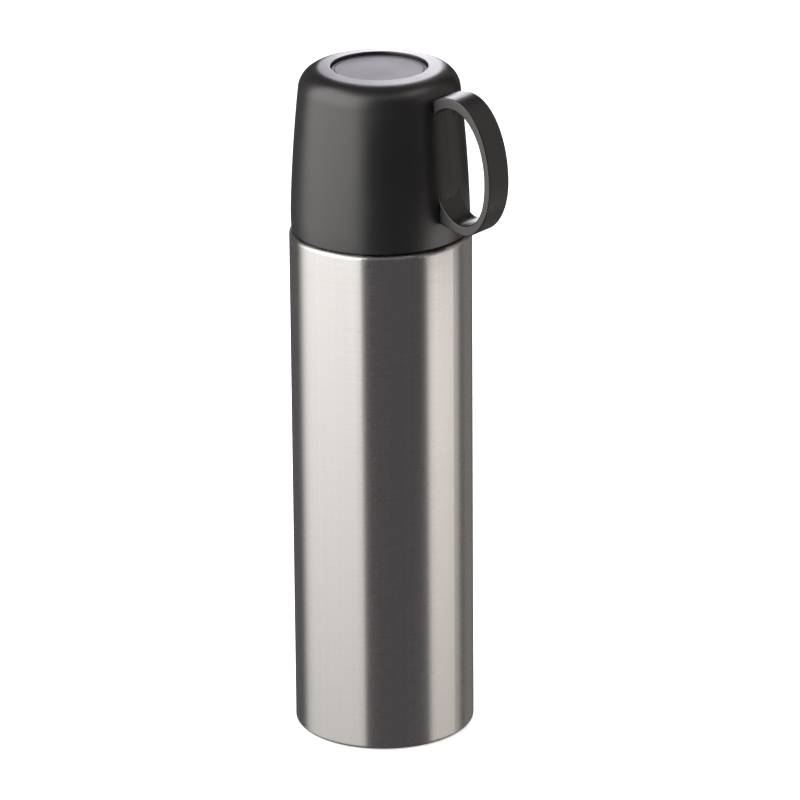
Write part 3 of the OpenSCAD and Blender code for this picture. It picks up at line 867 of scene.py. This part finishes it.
def emitter(name, colour, strength):
    """Light-giving material, scaled by the mesh's glow. It isn't sampled as a lamp."""
    material = bpy.data.materials.new(name)
    material.use_nodes = True
    tree = material.node_tree
    tree.nodes.clear()
    glow = tree.nodes.new("ShaderNodeAttribute")
    glow.attribute_name = "glow"
    shine = tree.nodes.new("ShaderNodeEmission")
    shine.inputs["Color"].default_value = (*colour, 1)
    link(tree, combine(tree, "MULTIPLY", glow.outputs["Fac"], strength), shine.inputs["Strength"])
    output = tree.nodes.new("ShaderNodeOutputMaterial")
    link(tree, shine.outputs["Emission"], output.inputs["Surface"])
    material.cycles.emission_sampling = "NONE"
    return material


def card(name, azimuths, heights, radius, strength, colour, fade, rise):
    """Upright curved reflector card round the flask, which only reflections see.

    Azimuth 0 stands behind the camera and positive azimuths are to its right. fade gives the degrees over
    which the glow falls off at each end, and rise how much the glow grows with each metre of height."""
    toward_camera = math.radians(CAMERA_AZIMUTH - 90)
    start, end = azimuths
    low, high = heights
    across, tall = max(2, round(abs(end - start) / CARD_STEP)), CARD_ROWS
    corners, glows = [], []
    for i in range(across + 1):
        azimuth = start + (end - start) * i / across
        a = toward_camera + math.radians(azimuth)
        from_ends = (azimuth - start, end - azimuth)
        ends = [distance / width if width else 1 for distance, width in zip(from_ends, fade)]
        side = max(0.0, min(1.0, *ends))
        for k in range(tall + 1):
            z = low + (high - low) * k / tall
            corners.append((radius * math.cos(a), radius * math.sin(a), z))
            glows.append(side * side * (3 - 2 * side) * max(0.0, min(GLOW_CAP, 1 + rise * z)))
    row = tall + 1
    faces = [(i * row + k, i * row + k + 1, (i + 1) * row + k + 1, (i + 1) * row + k)
             for i in range(across) for k in range(tall)]
    mesh = bpy.data.meshes.new(name)
    mesh.from_pydata(corners, [], faces)
    mesh.attributes.new("glow", "FLOAT", "POINT").data.foreach_set("value", glows)
    mesh.materials.append(emitter(name, colour, strength))
    obj = bpy.data.objects.new(name, mesh)
    bpy.context.collection.objects.link(obj)
    obj.visible_camera = False
    obj.visible_diffuse = False
    obj.visible_shadow = False
    return obj


def soft_light(name, azimuth, elevation, size, power):
    """Square area light that points at the flask."""
    a, e = math.radians(azimuth + CAMERA_AZIMUTH - 90), math.radians(elevation)
    data = bpy.data.lights.new(name, "AREA")
    data.size = size
    data.energy = power
    light = bpy.data.objects.new(name, data)
    place = Vector((math.cos(a) * math.cos(e), math.sin(a) * math.cos(e), math.sin(e)))
    place *= LIGHT_DISTANCE
    light.location = place + Vector((0, 0, LIGHT_AIM_Z))
    light.rotation_mode = "QUATERNION"
    light.rotation_quaternion = (-place).to_track_quat("-Z", "Y")
    bpy.context.collection.objects.link(light)
    light.visible_glossy = False


def make_studio():
    """Pale floor, soft lights, and the cards that the steel and the plastic reflect."""
    material, tree, shader = new_material("floor", Roughness=0.9, Specular_IOR_Level=0.0)
    shader.inputs["Emission Strength"].default_value = 0.55
    shader.inputs["Emission Color"].default_value = (1, 1, 1, 1)
    fleck = noise(tree, 3, 2)
    pale = ramp(tree, fleck, (0.3, (0.78, 0.78, 0.78)), (0.7, (0.82, 0.82, 0.82)))
    link(tree, pale, shader.inputs["Base Color"])
    mesh = bpy.data.meshes.new("floor")
    h, z = FLOOR_HALF, FLOOR_Z
    mesh.from_pydata([(-h, -h, z), (h, -h, z), (h, h, z), (-h, h, z)], [], [(0, 1, 2, 3)])
    mesh.materials.append(material)
    floor = bpy.data.objects.new("floor", mesh)
    bpy.context.collection.objects.link(floor)
    floor.visible_glossy = False

    backdrop = card("backdrop", (0, 360), (FLOOR_Z, BACKDROP_R), BACKDROP_R, 1.0, WHITE, (0, 0), 0.0)
    backdrop.visible_camera = True
    backdrop.visible_glossy = False

    world = bpy.data.worlds.new("studio")
    world.use_nodes = True
    background = world.node_tree.nodes["Background"]
    background.inputs["Color"].default_value = (*WORLD_GREY, 1)
    background.inputs["Strength"].default_value = 1.0
    bpy.context.scene.world = world

    for light in LIGHTS:
        soft_light(*light)
    for row in CARDS:
        card(*row)


make_studio()
bpy.context.scene.view_settings.view_transform = "Standard"
